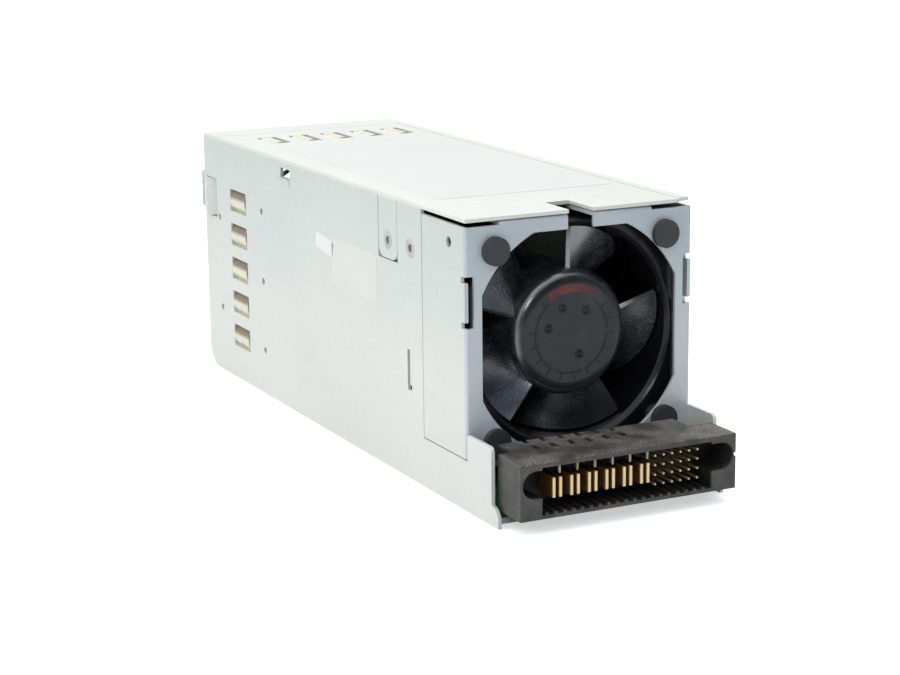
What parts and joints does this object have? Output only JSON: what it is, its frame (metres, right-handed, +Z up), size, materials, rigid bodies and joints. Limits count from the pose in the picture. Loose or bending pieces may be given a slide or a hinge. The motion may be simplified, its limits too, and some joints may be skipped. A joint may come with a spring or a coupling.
{
  "type": "hot swap server power supply",
  "caption": "Slim boxed power supply module with a fan and a bladed edge connector at one end, and a mains inlet, a pull handle and a release latch at the other.",
  "frame": {"origin": "on the resting surface, under the middle of the case's width and of its length from the fan plate to the rear panel", "axes": "+X across the case to the right seen from the fan end, +Y from the fan end to the mains end, +Z up"},
  "size_m": [0.0686, 0.2254, 0.0764],
  "materials": {
    "case_steel": "galvanised sheet, softly mottled",
    "bracket_steel": "galvanised sheet, slightly bluish",
    "screw_steel": "zinc plated",
    "spring_bronze": "bright strip",
    "isolator_rubber": "matt",
    "fan_plastic": "satin glass-filled",
    "connector_plastic": "satin charcoal",
    "contact_gold": "gold plated",
    "inlet_plastic": "glossy black",
    "handle_plastic": "fine grained",
    "latch_plastic": "satin touch colour",
    "lamp_lens": "clear tinted",
    "board_laminate": "solder-masked laminate",
    "insulator_film": "translucent film",
    "heat_sink_aluminium": "extruded",
    "package_resin": "moulded resin",
    "can_sleeve": "shrink sleeve",
    "ferrite": "matt sintered",
    "winding_tape": "tape over copper",
    "choke_copper": "enamelled wire",
    "relay_case": "moulded",
    "fuse_ceramic": "glazed",
    "film_box": "moulded box",
    "magnet_iron": "bonded",
    "shaft_steel": "ground"
  },
  "bodies": {
    "supply": {"case_tray": "case_steel", "top_cover": "case_steel", "nut_plates": "case_steel", "side_screws": "screw_steel", "fan_bracket": "bracket_steel", "fan_isolators": "isolator_rubber", "fan_frame": "fan_plastic", "fan_bearings": "shaft_steel", "fan_stator": "choke_copper", "connector_housing": "connector_plastic", "power_blades": "contact_gold", "signal_pins": "contact_gold", "rear_panel": "case_steel", "ac_inlet": "inlet_plastic", "inlet_pins": "screw_steel", "status_lamp": "lamp_lens", "handle_lugs": "case_steel", "handle_pins": "screw_steel", "latch_bracket": "case_steel", "latch_pin": "screw_steel", "latch_spring": "spring_bronze", "grounding_springs_left": "spring_bronze", "grounding_springs_right": "spring_bronze", "grounding_springs_top": "spring_bronze", "main_board": "board_laminate", "insulator_sheet": "insulator_film", "standoffs": "screw_steel", "board_screws": "screw_steel", "output_heat_sink": "heat_sink_aluminium", "input_heat_sink": "heat_sink_aluminium", "output_rectifiers": "package_resin", "input_switches": "package_resin", "bulk_capacitors": "can_sleeve", "output_capacitors": "can_sleeve", "transformer_core": "ferrite", "transformer_winding": "winding_tape", "output_choke": "choke_copper", "filter_choke": "choke_copper", "inrush_relay": "relay_case", "input_fuse": "fuse_ceramic", "film_capacitors": "film_box", "control_card": "board_laminate", "control_chips": "package_resin"},
    "fan": {"fan_rotor": "fan_plastic", "fan_shaft": "shaft_steel", "magnet_ring": "magnet_iron"},
    "handle": {"pull_handle": "handle_plastic"},
    "latch": {"release_latch": "latch_plastic"}
  },
  "joints": [
    {"name": "fan_spin", "type": "hinge", "parent": "supply", "child": "fan", "pos_m": [0, -0.0733, 0.0423], "axis": [0, 1, 0], "continuous": true},
    {"name": "handle_fold", "type": "hinge", "parent": "supply", "child": "handle", "pos_m": [0.005, 0.0987, 0.0354], "axis": [-1, 0, 0], "range_deg": [0, 90]},
    {"name": "latch_press", "type": "hinge", "parent": "supply", "child": "latch", "pos_m": [-0.0266, 0.0805, 0.056], "axis": [0, 0, -1], "range_deg": [0, 12.7], "stiffness_Nm_per_rad": 0.2, "springref_deg": -5.73, "deforming": ["latch_spring"]}
  ]
}
